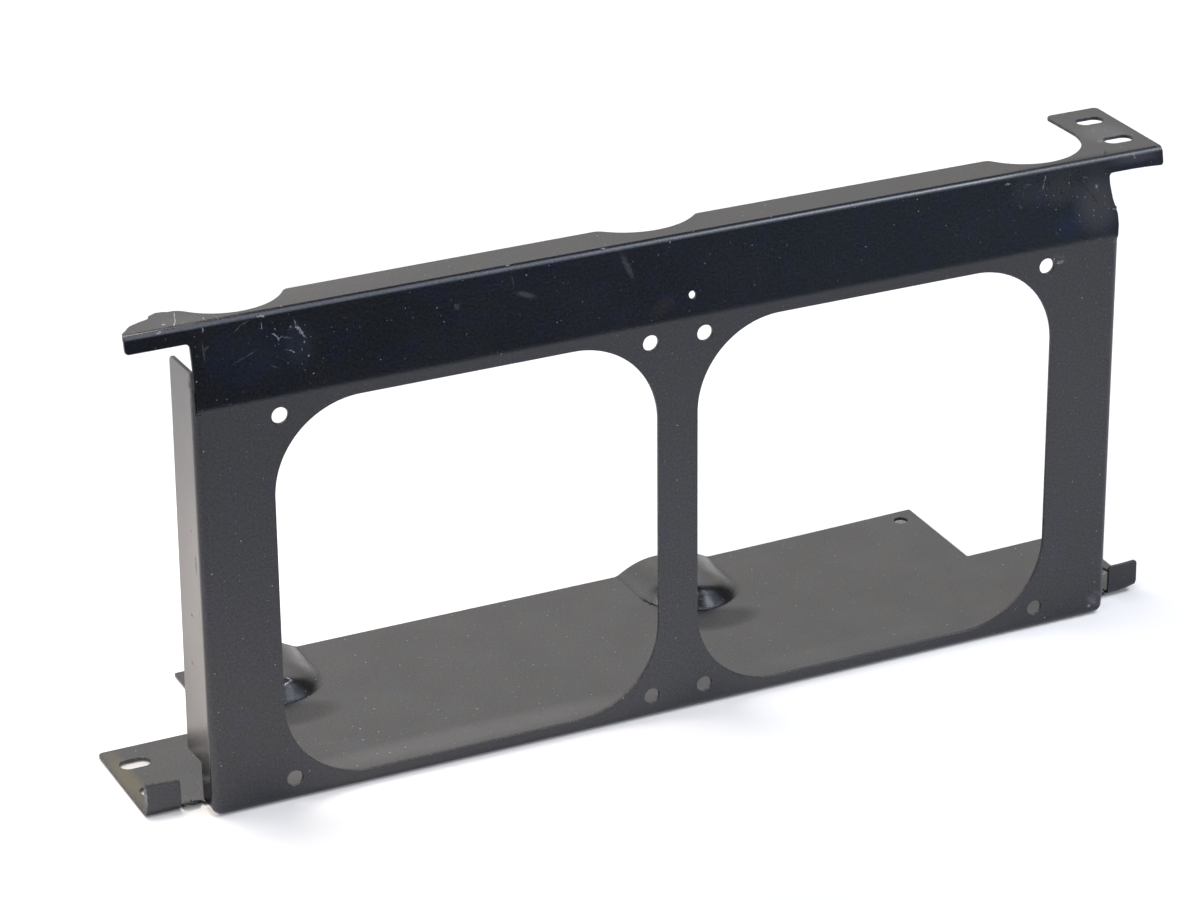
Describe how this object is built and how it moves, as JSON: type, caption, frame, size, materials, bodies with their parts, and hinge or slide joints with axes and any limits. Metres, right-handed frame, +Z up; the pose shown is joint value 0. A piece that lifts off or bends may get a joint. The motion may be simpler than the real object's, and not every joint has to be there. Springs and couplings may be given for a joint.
{
  "type": "fan mounting plate",
  "caption": "Folded sheet metal plate with round cornered openings for square fans, a shelf with pressed humps, a scalloped top flange and slotted fixing ears.",
  "frame": {"origin": "centre of the bounding box seen from above, at the shelf's underside", "axes": "+X to the right seen from the fan side, +Y backwards from the panel's front face over the shelf, +Z up"},
  "size_m": [0.3044, 0.0808, 0.1385],
  "materials": {
    "black_paint": "satin black paint on steel, with scuffs on the face and light wear along the cut edges"
  },
  "bodies": {
    "root": {"mounting_plate": "black_paint"}
  },
  "joints": []
}
